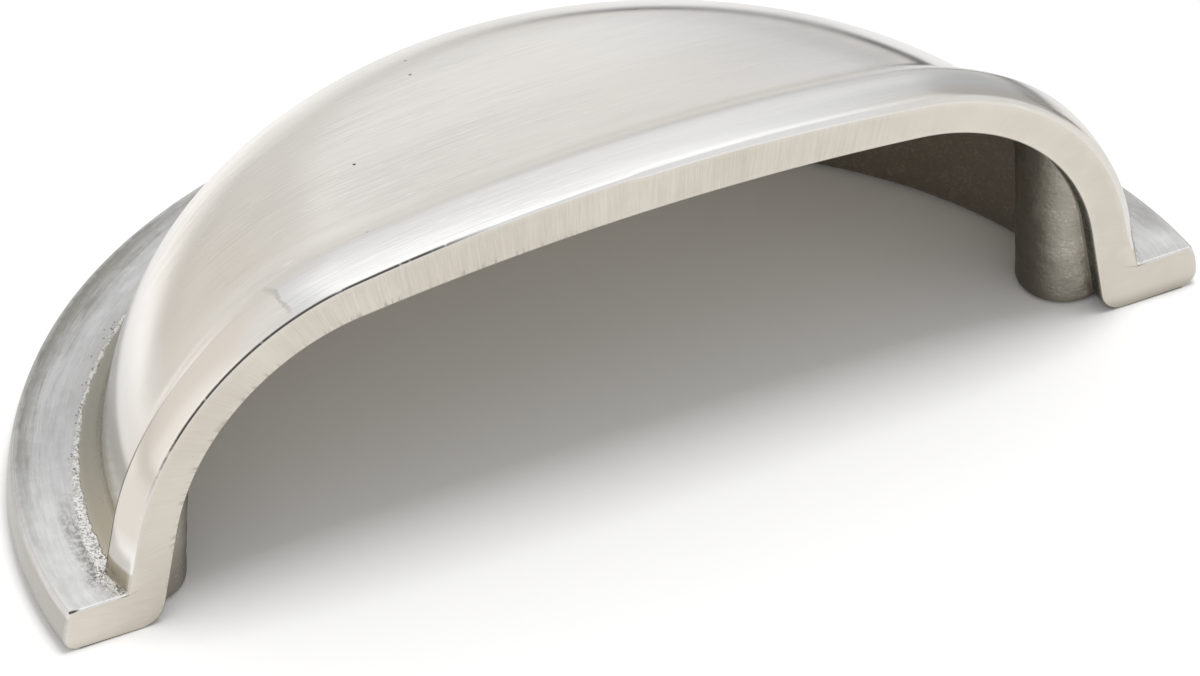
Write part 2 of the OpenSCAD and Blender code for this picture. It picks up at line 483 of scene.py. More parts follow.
def blendValue(tree, factor, a, b):
    return node(tree, "ShaderNodeMix", {"Factor": factor, "A": a, "B": b}, data_type="FLOAT").outputs[0]


def blendColour(tree, factor, a, b):
    return node(tree, "ShaderNodeMix", {"Factor": factor, 6: a, 7: b}, data_type="RGBA").outputs[2]


def storedValue(tree, name, kind="FLOAT"):
    return node(tree, "GeometryNodeInputNamedAttribute", {"Name": name}, data_type=kind).outputs["Attribute"]


def lipTree():
    # the raised lip, swept by rule along the arch
    lengths = {
        "Rise": lip["rise"],
        "Flare": lip["flare"],
        "Crest Depth": lip["crest"],
        "Crown Flank": lip["crownFlank"],
        "Foot Flank": lip["footFlank"],
    }
    tree, ids, start, end = newTree(
        "raisedLip",
        "GeometryNodeTree",
        [
            ("INPUT", "Geometry", "Shell", None),
            *(("INPUT", "Float", label, length * mm) for label, length in lengths.items()),
            ("INPUT", "Material", "Finish", None),
            ("OUTPUT", "Geometry", "Shell", None),
        ],
    )

    def stored(name, kind="FLOAT"):
        return storedValue(tree, name, kind)

    depth, outward = stored("depth"), stored("outward", "FLOAT_VECTOR")
    onCrown = maths(tree, "POWER", maths(tree, "ABSOLUTE", split(tree, outward)[2]), 2.0)
    upTo = maths(tree, "DIVIDE", depth, start["Crest Depth"])
    swell = maths(tree, "SINE", product(tree, maths(tree, "MINIMUM", upTo, 1.0), math.pi / 2))
    rising = maths(tree, "ADD", start["Rise"], product(tree, start["Flare"], swell))
    flank = blendValue(tree, onCrown, start["Foot Flank"], start["Crown Flank"])
    past = maths(tree, "DIVIDE", maths(tree, "SUBTRACT", depth, start["Crest Depth"]), flank, clamp=True)
    wave = maths(tree, "COSINE", product(tree, past, math.pi))
    soft = product(tree, maths(tree, "ADD", wave, 1.0), 0.5)
    crisp = maths(tree, "SUBTRACT", 1.0, maths(tree, "SINE", product(tree, past, math.pi / 2)))
    height = product(tree, rising, blendValue(tree, onCrown, crisp, soft))
    proud = maths(tree, "MAXIMUM", maths(tree, "SUBTRACT", height, stored("gap")), 0.0)
    offset = scaled(tree, outward, product(tree, proud, stored("share")))
    raised = node(tree, "GeometryNodeSetPosition", {"Geometry": start["Shell"], "Offset": offset})
    whole = node(tree, "GeometryNodeRealizeInstances", {0: raised.outputs[0]})
    onBrushed = node(tree, "GeometryNodeMaterialSelection", {"Material": start["Finish"]}).outputs[0]
    settings = {"Geometry": whole.outputs[0], "Selection": onBrushed, "Material": start["Finish"]}
    tree.links.new(node(tree, "GeometryNodeSetMaterial", settings).outputs[0], end[0])
    return tree, ids, {label: length * mm for label, length in lengths.items()}


def bakeTree(piece, tree, ids, values):
    # runs a node tree on a piece and gives back a plain mesh
    modifier = piece.modifiers.new(tree.name, "NODES")
    modifier.node_group = tree
    for label, value in {**values, "Finish": bpy.data.materials[finishNames[brushed]]}.items():
        modifier[ids[label]] = value
    bpy.context.view_layer.update()
    mesh = bpy.data.meshes.new_from_object(piece.evaluated_get(bpy.context.evaluated_depsgraph_get()))
    piece.modifiers.remove(modifier)
    return mesh


boss = {
    "spacing": 76.0,
    "setback": 5.2,
    "radius": 3.45,
    "draft": 1.2,
    "rounding": 0.7,
    "lift": 0.02,
    "turns": 120,
    "levels": 64,
    "endRings": (0.35, 0.7),
    "roundingAngles": (-90, -75, -60, -45, -30, -15, 0),
    "reach": (37.2, 36.4),  # radii within which the outer and the inner arch are read
    "wallInset": 0.8,
    "wallFrom": 0.9,
    "roughness": 0.055,
    "roughAbove": (0.8, 1.6),
    "seam": {"angle": -66, "height": 0.2, "width": 4.5, "wobble": 4},
    "holeRadius": 1.65,
    "holeDepth": 3.5,
    "holeSteps": 64,
    "pointAngle": 118.0,
}


def noise3(p, scale, seed):
    # smooth random field from a few fixed waves, for the grain of the casting
    rng = np.random.default_rng(seed)
    total, waves, steepness = np.zeros(len(p)), 24, 5.0
    for _ in range(waves):
        way = rng.normal(size=3)
        total += np.sin(p @ (way / scale) + rng.uniform(0, 2 * math.pi))
    return total / steepness


def castTool(name, place, faces):
    mesh = bpy.data.meshes.new(name)
    mesh.from_pydata((np.array(place) * mm).tolist(), [], faces)
    mesh.update()
    for material in finishNames:
        mesh.materials.append(bpy.data.materials[material])
    mesh.polygons.foreach_set("material_index", [cast] * len(faces))
    for value in ("root", "edge"):
        mesh.attributes.new(value, "FLOAT", "POINT").data.foreach_set("value", [far] * len(mesh.vertices))
    return mesh


def bossProfile(px, py):
    # radius and height of one side of a boss, from its flat end over the rounded edge to the roof
    radius, rounding, lift, levels = boss["radius"], boss["rounding"], boss["lift"], boss["levels"]
    r = math.hypot(px, py / planRatio)
    arches = zip((outerArch, innerArch), boss["reach"])
    inArch = [heightAt(arch, np.array([min(r, top)])) for arch, top in arches]
    roof = 0.5 * (inArch[0] + inArch[1])[0]
    rows = [((radius - rounding) * t, lift) for t in boss["endRings"]]
    for b in np.radians(boss["roundingAngles"]):
        rows.append((radius - rounding + rounding * math.cos(b), lift + rounding + rounding * math.sin(b)))
    for z in (rounding + (roof - rounding) * k / levels for k in range(1, levels + 1)):
        rows.append((radius + (z - rounding) * math.tan(math.radians(boss["draft"])), z))
    return rows


def keepInWall(p):
    stations, marks, _ = outerStations()
    order = np.argsort(stations[:, 1])
    wallZ, wallR = stations[order, 1], stations[order, 0] - boss["wallInset"]
    keep = (wallZ > boss["wallFrom"]) & (marks[order] != onTop)
    limit = np.interp(p[:, 2], wallZ[keep], wallR[keep])
    squeeze = np.minimum(1.0, limit / np.hypot(p[:, 0], p[:, 1] / planRatio))
    p[:, 0] *= squeeze
    p[:, 1] *= squeeze


def roughen(p, x0, y0):
    # the skin and the parting line that the mould leaves
    normal = np.c_[p[:, 0] - x0, p[:, 1] - y0, np.zeros(len(p))]
    normal /= np.maximum(np.linalg.norm(normal, axis=1), 1e-6)[:, None]
    grain = boss["roughness"] * (0.6 * noise3(p, 0.9, 4) + 0.4 * noise3(p, 0.35, 5))
    seam = boss["seam"]
    turn = np.degrees(np.arctan2(normal[:, 1], normal[:, 0])) - seam["angle"]
    turn = turn + seam["wobble"] * noise3(p, 2.2, 9)
    ridge = seam["height"] * np.exp(-((turn / seam["width"]) ** 2)) * (0.7 + 0.3 * noise3(p, 0.6, 8))
    p += normal * ((grain + ridge) * smooth(*boss["roughAbove"], p[:, 2]))[:, None]


def buildBoss(side):
    x0, y0, turns = boss["spacing"] / 2, boss["setback"], boss["turns"]
    points, faces = [], []
    for a in (2 * math.pi * i / turns for i in range(turns)):
        rows = bossProfile(x0 + boss["radius"] * math.cos(a), y0 + boss["radius"] * math.sin(a))
        points += [(x0 + t * math.cos(a), y0 + t * math.sin(a), z) for t, z in rows]
    per = len(points) // turns
    p = np.array(points)
    keepInWall(p)
    roughen(p, x0, y0)
    points = [*p.tolist(), (x0, y0, boss["lift"]), tuple(np.mean(p[per - 1 :: per], axis=0))]
    end, roof = len(points) - 2, len(points) - 1
    for i in range(turns):
        n = (i + 1) % turns
        for k in range(per - 1):
            faces.append((n * per + k, n * per + k + 1, i * per + k + 1, i * per + k))
    for i in range(turns):
        n = (i + 1) % turns
        faces.append((i * per, n * per, end))
        faces.append((n * per + per - 1, i * per + per - 1, roof))
    if side < 0:
        points = [(-x, y, z) for x, y, z in points]
        faces = [f[::-1] for f in faces]
    return castTool("boss", np.array(points) - np.array([0, boss["setback"], 0]), faces)


def buildDrill(side):
    steps, below = boss["holeSteps"], -1.0
    radius, depth, x0 = boss["holeRadius"], boss["holeDepth"], side * boss["spacing"] / 2
    tip = depth + radius / math.tan(math.radians(boss["pointAngle"] / 2))
    points, faces = [], []
    for z in (below, depth):
        for a in (2 * math.pi * i / steps for i in range(steps)):
            points.append((x0 + radius * math.cos(a), radius * math.sin(a), z))
    points += [(x0, 0, below), (x0, 0, tip)]
    for i in range(steps):
        n = (i + 1) % steps
        faces.append((i, n, steps + n, steps + i))
        faces.append((2 * steps, n, i))
        faces.append((2 * steps + 1, steps + i, steps + n))
    return castTool("drill", points, faces)


def combine(piece, tools, operation):
    # exact union or difference of a piece with several tool meshes
    for mesh in tools:
        tool = link("tool", mesh)
        modifier = piece.modifiers.new("cut", "BOOLEAN")
        modifier.operation, modifier.solver, modifier.object = operation, "EXACT", tool
        bpy.context.view_layer.update()
        result = bpy.data.meshes.new_from_object(piece.evaluated_get(bpy.context.evaluated_depsgraph_get()))
        piece.modifiers.clear()
        piece.data = result
        bpy.data.objects.remove(tool)


grains = {  # left in the cove by the casting
    "perMm2": 46.0,
    "smallest": 0.045,
    "largest": 0.13,
    "flatness": (1, 0.8, 0.62),
    "seed": 11,
    "spinSeed": 5,
    "line": (0.1, 0.26),  # middle and width of the strip, from the cove's foot
    "lineBehind": (1.5, 7.0),  # where it starts to thin and how fast
    "wide": (0.35, 0.55),
    "wideBehind": (1.0, 3.5),
    "least": 0.12,
    "onRight": 0.35,
    "frontClear": (6.0, 0.2),  # on the right and on the left
    "inside": 0.3,
    "below": 0.2,
}


def grainTree():
    numbers = {
        "Density": grains["perMm2"] / mm**2,
        "Smallest": grains["smallest"] * mm,
        "Largest": grains["largest"] * mm,
    }
    tree, ids, start, end = newTree(
        "castGrains",
        "GeometryNodeTree",
        [
            ("INPUT", "Geometry", "Pull", None),
            *(("INPUT", "Float", label, number) for label, number in numbers.items()),
            ("INPUT", "Int", "Seed", grains["seed"]),
            ("INPUT", "Material", "Finish", None),
            ("OUTPUT", "Geometry", "Pull", None),
        ],
    )
    where = storedValue(tree, "grain")
    density = product(tree, where, start["Density"])
    inputs = {"Mesh": start["Pull"], "Density": density, "Seed": start["Seed"]}
    points = node(tree, "GeometryNodeDistributePointsOnFaces", inputs).outputs["Points"]
    ball = node(tree, "GeometryNodeMeshIcoSphere", {"Radius": 1.0, "Subdivisions": 1}).outputs["Mesh"]
    inputs = {"Seed": start["Seed"], 2: start["Smallest"], 3: start["Largest"]}
    size = node(tree, "FunctionNodeRandomValue", inputs, data_type="FLOAT").outputs[1]
    inputs = {"Seed": grains["spinSeed"], 1: (6.28, 6.28, 6.28)}
    spin = node(tree, "FunctionNodeRandomValue", inputs, data_type="FLOAT_VECTOR").outputs[0]
    inputs = {"Points": points, "Instance": ball, "Scale": size, "Rotation": spin}
    spread = node(tree, "GeometryNodeInstanceOnPoints", inputs).outputs[0]
    inputs = {"Instances": spread, "Scale": grains["flatness"]}
    flat = node(tree, "GeometryNodeScaleInstances", inputs).outputs[0]
    whole = node(tree, "GeometryNodeRealizeInstances", {0: flat}).outputs[0]
    made = node(tree, "GeometryNodeSetMaterial", {"Geometry": whole, "Material": start["Finish"]}).outputs[0]
    for name, number in (("root", 0.3), ("edge", far), ("onFlange", 1.0)):
        inputs = {"Geometry": made, "Name": name, "Value": number}
        settings = {"data_type": "FLOAT", "domain": "POINT"}
        made = node(tree, "GeometryNodeStoreNamedAttribute", inputs, **settings).outputs[0]
    joined = node(tree, "GeometryNodeJoinGeometry", {0: made})
    tree.links.new(start["Pull"], joined.inputs[0])
    tree.links.new(joined.outputs[0], end[0])
    return tree, ids, {**numbers, "Seed": grains["seed"]}


def readValues(mesh, name):
    values = np.empty(len(mesh.vertices))
    mesh.attributes[name].data.foreach_get("value", values)
    return values


def readPoints(mesh):
    points = np.empty(len(mesh.vertices) * 3)
    mesh.vertices.foreach_get("co", points)
    return points.reshape(-1, 3) / mm


def hill(value, middle, width):
    return np.exp(-(((value - middle) / width) ** 2))


def thinned(value, start, length):
    return np.exp(-np.maximum(value - start, 0) / length)


def markGrain(mesh):
    # thickest beside the left foot, thinning towards the back
    p, root = readPoints(mesh), readValues(mesh, "root")
    x, back, z = p[:, 0], p[:, 1] + boss["setback"], p[:, 2]
    front = thinned(back, *grains["lineBehind"])
    strip = hill(root, *grains["line"]) * (grains["least"] + (1 - grains["least"]) * front)
    wide = hill(root, *grains["wide"]) * thinned(back, *grains["wideBehind"])
    clump = np.clip(0.6 + 0.5 * noise3(p, 0.7, 21), 0, 1.4)
    amount = (strip + wide) * np.where(x < 0, 1.0, grains["onRight"]) * clump
    outside = np.hypot(x, back / planRatio) > cup["halfWidth"] - grains["inside"]
    amount *= outside & (z > cup["level"] - grains["below"]) & (readValues(mesh, "onFlange") > 0.5)
    amount *= back > np.where(x > 0, *grains["frontClear"])
    mesh.attributes.new("grain", "FLOAT", "POINT").data.foreach_set("value", amount)


brushing = {
    "mmPerUv": 100,
    "side": (0.35, 0.8),  # slope over which the marks turn down a side
    "ringRadius": 42,
    "onRing": 0.97,
}


def addBrushing(mesh):
    # brush marks run along x on the dome and lip, across the band of the front face, round the flange
    p, side = readPoints(mesh), brushing["side"]
    p[:, 1] += boss["setback"]
    n = np.empty(len(mesh.vertices) * 3)
    mesh.vertex_normals.foreach_get("vector", n)
    n = n.reshape(-1, 3)
    fall = cup["top"] - p[:, 2]
    u = p[:, 0] + np.sign(p[:, 0]) * fall * smooth(*side, np.abs(n[:, 0]))
    lengthwise = np.c_[u, p[:, 1] + fall * smooth(*side, n[:, 1])]
    band = np.c_[readValues(mesh, "along"), readValues(mesh, "across")]
    turn = np.arctan2(p[:, 1] / planRatio, p[:, 0])
    ring = np.c_[turn * brushing["ringRadius"], readValues(mesh, "root")]
    corner = np.empty(len(mesh.loops), dtype=int)
    mesh.loops.foreach_get("vertex_index", corner)
    count, finish = (np.empty(len(mesh.polygons), dtype=int) for _ in range(2))
    mesh.polygons.foreach_get("loop_total", count)
    mesh.polygons.foreach_get("material_index", finish)
    first = np.concatenate([[0], np.cumsum(count)[:-1]])
    lowest = np.minimum.reduceat(readValues(mesh, "onFlange")[corner], first)
    onBand = np.repeat(finish == faced, count)
    onRing = np.repeat((lowest > brushing["onRing"]) & (finish == brushed), count)
    uv = np.where(onBand[:, None], band[corner], lengthwise[corner])
    uv = np.where(onRing[:, None], ring[corner], uv) / brushing["mmPerUv"]
    mesh.uv_layers.new(name="brushing").data.foreach_set("uv", uv.ravel())


def tidyMesh(mesh):
    weld, sliver = 0.002 * mm, 0.0001 * mm
    work = bmesh.new()
    work.from_mesh(mesh)
    bmesh.ops.remove_doubles(work, verts=work.verts, dist=weld)
    bmesh.ops.dissolve_degenerate(work, edges=work.edges, dist=sliver)
    work.to_mesh(mesh)
    print("open edges", sum(1 for e in work.edges if not e.is_manifold))
    work.free()


sharpFrom = 38  # degrees
shell = buildShell()
print("shell", len(shell.data.vertices), "points")
pull = link("cupPull", bakeTree(shell, *lipTree()))
bpy.data.objects.remove(shell)
print("lip raised")
combine(pull, [buildBoss(1), buildBoss(-1)], "UNION")
combine(pull, [buildDrill(1), buildDrill(-1)], "DIFFERENCE")
tidyMesh(pull.data)
print("bosses joined and drilled", len(pull.data.vertices), "points")
addBrushing(pull.data)
markGrain(pull.data)
pull.data = bakeTree(pull, *grainTree())
while pull.data.materials[-1] is None:
    pull.data.materials.pop()
print("grains cast", len(pull.data.vertices), "points")
pull.data.shade_smooth()
pull.data.set_sharp_from_angle(angle=math.radians(sharpFrom))

nickel = {
    "dome": (0.785, 0.765, 0.735, 1),
    "domeWarm": (0.785, 0.757, 0.705, 1),
    "domeBand": (0.745, 0.712, 0.66, 1),
    "warm": (0.785, 0.738, 0.668, 1),
    # painted light for the valley behind the lip
    "valleyLight": (0.88, 0.848, 0.79, 1),
    # painted reflection on the lip: whiter, and warm at its left end
    "lip": (0.79, 0.775, 0.75, 1),
    "lipWarm": (0.81, 0.768, 0.708, 1),
    # painted reflection along the rounded front edge on the right
    "lipEdgeReflection": (0.735, 0.70, 0.64, 1),
    "scratch": (0.95, 0.93, 0.89, 1),
    "polish": (0.88, 0.86, 0.82, 1),
    "flange": (0.655, 0.65, 0.638, 1),
    "flangeFoot": (0.86, 0.85, 0.83, 1),
    "flangeDull": (0.25, 0.24, 0.21, 1),
    "flangeSide": (0.52, 0.505, 0.465, 1),
    # dark smudges and marks, also used for painted shade on the flange beside the cove
    "sootAndShade": (0.4, 0.39, 0.365, 1),
    "sootDark": (0.2, 0.19, 0.17, 1),
    # the next three tones are painted shade in the cove
    "cove": (0.6, 0.575, 0.5, 1),
    "coveShadeLow": (0.315, 0.3, 0.252, 1),
    "coveShadeFoot": (0.52, 0.47, 0.36, 1),
    # painted highlight on the wall above the cove
    "coveWallHighlight": (0.96, 0.94, 0.905, 1),
    "grainDark": (0.4, 0.385, 0.35, 1),
    "grainBright": (0.89, 0.875, 0.845, 1),
    "face": (0.75, 0.70, 0.622, 1),
    "faceDull": (0.70, 0.648, 0.57, 1),
    "faceScratch": (0.92, 0.88, 0.81, 1),
    "facePolish": (0.86, 0.83, 0.77, 1),
    "faceTick": (0.34, 0.31, 0.27, 1),
    "castBright": (0.55, 0.50, 0.42, 1),
    # the dark tone of the hollow and mounting face, partly painted shade
    "castDarkAndShade": (0.26, 0.225, 0.18, 1),
    # painted shadow beside and behind the bosses
    "castGapShade": (0.085, 0.078, 0.065, 1),
    # painted shade on the bosses; the next two are their painted highlight
    "bossShade": (0.175, 0.156, 0.125, 1),
    "bossHighlight": (0.44, 0.41, 0.352, 1),
    "bossHighlightSpeckle": (0.54, 0.508, 0.445, 1),
    "roof": (0.43, 0.40, 0.325, 1),
    # dark pits, nicks and marks, and the painted shadow line along the lip's crest
    "grimeAndShade": (0.09, 0.08, 0.07, 1),
}


def ramp(tree, value, low, high, outLow=0.0, outHigh=1.0):
    inputs = {"Value": value, "From Min": low, "From Max": high, "To Min": outLow, "To Max": outHigh}
    return node(tree, "ShaderNodeMapRange", inputs, interpolation_type="SMOOTHSTEP").outputs[0]


def attribute(tree, name):
    return node(tree, "ShaderNodeAttribute", attribute_name=name, attribute_type="GEOMETRY").outputs["Fac"]


def stretched(tree, vector, scale):
    return vectorMaths(tree, "MULTIPLY", vector, scale).outputs[0]


def noise(tree, vector, scale, detail=3.0, rough=0.55):
    inputs = {"Vector": vector, "Scale": scale, "Detail": detail, "Roughness": rough}
    return node(tree, "ShaderNodeTexNoise", inputs).outputs["Fac"]


def smear(tree, vector, along, across, detail, rough=0.55):
    return noise(tree, stretched(tree, vector, (along, across, 1.0)), 1.0, detail, rough)


def cells(tree, vector, scale):
    return node(tree, "ShaderNodeTexVoronoi", {"Vector": vector, "Scale": scale}).outputs


def distance(tree, vector, point):
    return vectorMaths(tree, "DISTANCE", vector, point).outputs["Value"]


def group(tree, shared, inputs):
    return node(tree, "ShaderNodeGroup", inputs, node_tree=shared).outputs


def brushGroup():
    # streaks along the first coordinate, from hairlines to soft bands
    tree, _, start, end = newTree(
        "brushGrain",
        "ShaderNodeTree",
        [
            ("INPUT", "Vector", "Coordinates", None),
            ("INPUT", "Float", "Stroke", 14.0),
            ("INPUT", "Float", "Hair", 0.13),
            ("OUTPUT", "Float", "Streak", None),
            ("OUTPUT", "Float", "Scratch", None),
            ("OUTPUT", "Float", "Height", None),
        ],
    )
    parts = split(tree, start["Coordinates"])
    along = maths(tree, "DIVIDE", parts[0], start["Stroke"])
    across = maths(tree, "DIVIDE", parts[1], start["Hair"])

    def layer(alongScale, acrossScale, shift, detail=2.0):
        inputs = {0: product(tree, along, alongScale), 1: product(tree, across, acrossScale), 2: shift}
        return noise(tree, node(tree, "ShaderNodeCombineXYZ", inputs).outputs[0], 1.0, detail)

    hair, fine, soft = layer(1.0, 1.0, 0.0), layer(0.7, 0.34, 7.0), layer(0.4, 0.07, 13.0)
    streak = ramp(tree, weighted(tree, (hair, 0.45), (fine, 0.35), (soft, 0.2)), 0.36, 0.64)
    scratch = ramp(tree, layer(2.2, 1.3, 23.0, 1.0), 0.66, 0.72)
    tree.links.new(streak, end["Streak"])
    tree.links.new(scratch, end["Scratch"])
    tree.links.new(maths(tree, "SUBTRACT", streak, product(tree, scratch, 0.6)), end["Height"])
    return tree


def castGroup():
    # rough skin as it leaves the mould: lumps, fine sand and bright specks
    tree, _, start, end = newTree(
        "castGrain",
        "ShaderNodeTree",
        [
            ("INPUT", "Vector", "Coordinates", None),
            ("INPUT", "Float", "Size", 1.0),
            ("OUTPUT", "Float", "Speckle", None),
            ("OUTPUT", "Float", "Height", None),
        ],
    )
    place = scaled(tree, start["Coordinates"], maths(tree, "DIVIDE", 1.0, start["Size"]))
    lumps, sand = noise(tree, place, 1.1, 3.0, 0.6), noise(tree, place, 6.5, 2.0, 0.6)
    pebble = maths(tree, "SUBTRACT", 1.0, cells(tree, place, 4.2)["Distance"])
    speckle = ramp(tree, product(tree, sand, maths(tree, "ADD", lumps, 0.5)), 0.5, 0.72)
    tree.links.new(speckle, end["Speckle"])
    tree.links.new(weighted(tree, (lumps, 0.5), (sand, 0.3), (pebble, 0.25)), end["Height"])
    return tree


def wearGroup():
    # polish along an edge, broken up where fingers and cloths miss it
    tree, _, start, end = newTree(
        "edgeWear",
        "ShaderNodeTree",
        [
            ("INPUT", "Vector", "Coordinates", None),
            ("INPUT", "Float", "Distance", far),
            ("INPUT", "Float", "Reach", 0.35),
            ("OUTPUT", "Float", "Worn", None),
        ],
    )
    patch = noise(tree, start["Coordinates"], 0.8, 4.0, 0.65)
    reach = product(tree, start["Reach"], ramp(tree, patch, 0.3, 0.7, 0.45, 1.5))
    near = maths(tree, "SUBTRACT", 1.0, maths(tree, "DIVIDE", start["Distance"], reach), clamp=True)
    tree.links.new(near, end["Worn"])
    return tree


brushGrain, castGrain, edgeWear = brushGroup(), castGroup(), wearGroup()


class Coats:
    # Tones laid over one another on one material. A place is a list of plain strengths and of ramps, each a
    # value's name, from, to, and the ramp's own ends where they aren't 0 and 1. They are multiplied.
    def __init__(self, tree, at, places, tone):
        self.tree, self.at, self.places, self.tone = tree, at, places, tone

    def mask(self, name, *others):
        steps = self.places[name]
        steps = [ramp(self.tree, self.at[s[0]], *s[1:]) if isinstance(s, tuple) else s for s in steps]
        return product(self.tree, *steps, *others)

    def lay(self, where, tone):
        where = self.mask(where) if isinstance(where, str) else where
        tone = nickel[tone] if isinstance(tone, str) else tone
        self.tone = blendColour(self.tree, where, self.tone, tone)

    def shade(self, where, strength):
        self.lay(where, scaled(self.tree, self.tone, strength))


def startMaterial(name, *attributes):
    # x, y and z in mm, depth behind the front face, root past the cove's foot, edge from the nearest edge
    material = bpy.data.materials[name]
    material.use_nodes = True
    tree = material.node_tree
    shader = tree.nodes["Principled BSDF"]
    shader.inputs["Metallic"].default_value = 1.0
    place = scaled(tree, node(tree, "ShaderNodeTexCoord").outputs["Object"], 1 / mm)
    uv = scaled(tree, node(tree, "ShaderNodeUVMap", uv_map="brushing").outputs[0], brushing["mmPerUv"])
    at = {"place": place, "uv": uv, **dict(zip("xyz", split(tree, place)))}
    at.update((stored, attribute(tree, stored)) for stored in attributes)
    if "depth" in at:
        at["depth"] = maths(tree, "DIVIDE", at["depth"], mm)  # stored in metres
    return tree, shader, at


def bump(tree, height, depth, strength, normal=None):
    inputs = {"Height": height, "Distance": depth * mm, "Strength": strength}
    if normal is not None:
        inputs["Normal"] = normal
    return node(tree, "ShaderNodeBump", inputs).outputs[0]


pitPlaces = (
    (-19.8, -0.6, 25.3),
    (-16.0, 8.9, 23.6),
    (-7.2, 17.2, 23.0),
    (-6.2, 19.9, 22.1),
    (12.5, -5.2, 22.6),
)
pitRadius = 0.16
nick = {"place": (-45.9, -5.15, 3.6), "stretch": 0.2, "radius": 0.17}


def spots(tree, place, centres, radius):
    nearest = chain(tree, "MINIMUM", far, *(distance(tree, place, centre) for centre in centres))
    return ramp(tree, nearest, radius, 0.5 * radius)


def pits(tree, place, scale, radius):
    cell = cells(tree, place, scale)
    tint = node(tree, "ShaderNodeSeparateColor", {0: cell["Color"]}).outputs[0]
    reach = product(tree, ramp(tree, tint, 0.45, 1.0), radius * scale)
    return ramp(tree, maths(tree, "SUBTRACT", reach, cell["Distance"]), 0.0, 0.25 * radius * scale)


flangePlaces = {
    "foot": [("y", 14, -5)],
    "middle": [("y", 6, 14), ("y", 27, 20)],
    "rubbed": [("rub", 0.6, 0.4)],
    "border": [("border", 1.0, 0.05), ("y", -4, 24, 0.12, 0.92), ("y", 35, 29, 0.5)],
    "scored": [("drawn", 0.44, 0.36), ("edge", 3.2, 0.8), ("y", 4, 18), 0.55],
    "sootAndShade": [
        ("root", 0.6, 1.0),
        ("root", 2.4, 1.3),
        ("y", 9, 2),
        ("y", -5.2, -1.8, 0.15, 0.85),
        ("x", 0, -9),
        ("smudge", 0.62, 0.44, 0.35),
        ("fleck", 0.58, 0.42, 0.35),
    ],
    "rightEnd": [("x", 24, 34)],
    "rightPatch": [("x", 24, 34), ("y", -3.4, -0.4), ("smudge", 0.6, 0.4, 0.35, 0.75)],
    # painted shade on the flange beside the cove, towards the back
    "underCupShade": [("root", 1.8, 0), ("y", 8, 22), 0.4],
    "side": [("root", 5.0, 5.3)],
}


def flangeTone(tree, at):
    # silver near the feet, mottled further back, with a dull border along the outer edge
    place, uv = at["place"], at["uv"]
    smudge, drawn = smear(tree, uv, 0.12, 0.5, 5.0, 0.68), smear(tree, uv, 0.16, 2.2, 4.0, 0.7)
    rub = weighted(tree, (noise(tree, place, 0.7, 7.0, 0.7), 0.3), (smudge, 0.35), (drawn, 0.35))
    ragged = weighted(tree, (at["edge"], 1.0), (maths(tree, "SUBTRACT", rub, 0.5), 3.4))
    border = maths(tree, "DIVIDE", ragged, ramp(tree, at["y"], 18.0, 28.0, 2.0, 3.3))
    fleck = noise(tree, place, 2.4, 3.0, 0.6)
    at = {**at, "smudge": smudge, "drawn": drawn, "rub": rub, "border": border, "fleck": fleck}
    coats = Coats(tree, at, flangePlaces, nickel["flange"])
    coats.lay("foot", "flangeFoot")
    coats.shade("middle", 0.87)
    coats.shade("rubbed", 0.83)
    coats.lay("border", "flangeDull")
    coats.lay("scored", "flangeDull")
    coats.lay("sootAndShade", "sootDark")
    coats.shade("rightEnd", 0.9)
    coats.lay("rightPatch", "sootAndShade")
    # painted shade on the flange beside the cove, towards the back
    coats.lay("underCupShade", "sootAndShade")
    coats.lay("side", "flangeSide")
    return coats.tone


brushedPlaces = {
    "strokes": [("x", -33, -27), ("x", 8, -12, 0.3)],
    "strokePatches": [("patch", 0.3, 0.7, 0.4, 1.25)],
    "top": [("z", 13.5, 18.5)],
    "aboveFeet": [("z", 10, 15)],
    "domeLeft": [("x", 14, 2)],
    "front": [("y", 7, -2)],
    "warmLeft": [("x", -15, -29)],
    "soft": [("depth", 1.5, 4.5), ("depth", 12, 8), ("x", 29, 21)],
    "valleyLight": [("depth", 3.8, 5.4), ("depth", 9.2, 6.6), ("x", 27, 15), ("x", -37, -29)],
    "band": [("depth", 6, 8.5), ("depth", 17.5, 12), ("x", -24, -12), ("x", 22, 6)],
    "lip": [("depth", 6, 2.4)],
    "lipReflection": [("wave", -27.7, -27.1)],
    "warmLip": [("wave", -27.2, -27.8), ("z", 14, 20)],
    "rolledEdgeReflection": [("depth", 1.7, 0.6), ("x", 14, 25), ("z", 8, 13)],
    "patchLine": [("fromPatch", 0.3, 0.05), ("depth", 0.2, 1.2), 0.42],
    # the next three places carry the painted shade in the cove
    "cove": [("root", -2.9, -2.5), ("root", 0.14, -0.12)],
    "coveShadeLow": [("root", -2.4, -1.5)],
    "coveShadeFoot": [("y", 15, -3, 0, 0.8)],
    # a painted highlight on the wall just above the cove, on the left
    "coveWallHighlight": [("root", -5.6, -4.2), ("root", -2.5, -2.9), ("x", 0, -12)],
    "nearFoot": [("y", 15, -2)],
    "strip": [("ragged", 0.12, 0.3), ("inStrip", 0, 0.25), ("x", 10, -10, 0.4)],
    # a dark line just behind the front edge on the left: a burr, fading towards the foot into a painted
    # shadow line
    "burrAndShade": [
        ("depth", 0, 0.02),
        ("depth", 0.2, 0.08),
        ("x", -40.5, -37),
        ("x", -11, -18),
        ("broken", 0.32, 0.42, 0.5),
    ],
    # a painted shadow line along the lip's crest above the left foot
    "crest": [("fromCrest", 0.24, 0.08), ("z", 18.5, 12.5), ("z", 4, 5), ("x", -33, -36)],
    "rimBack": [("depth", 17, 24)],
    "rimLip": [("x", 22, 27), ("depth", 6, 8)],
    "rimRight": [("x", -2, 12)],
}
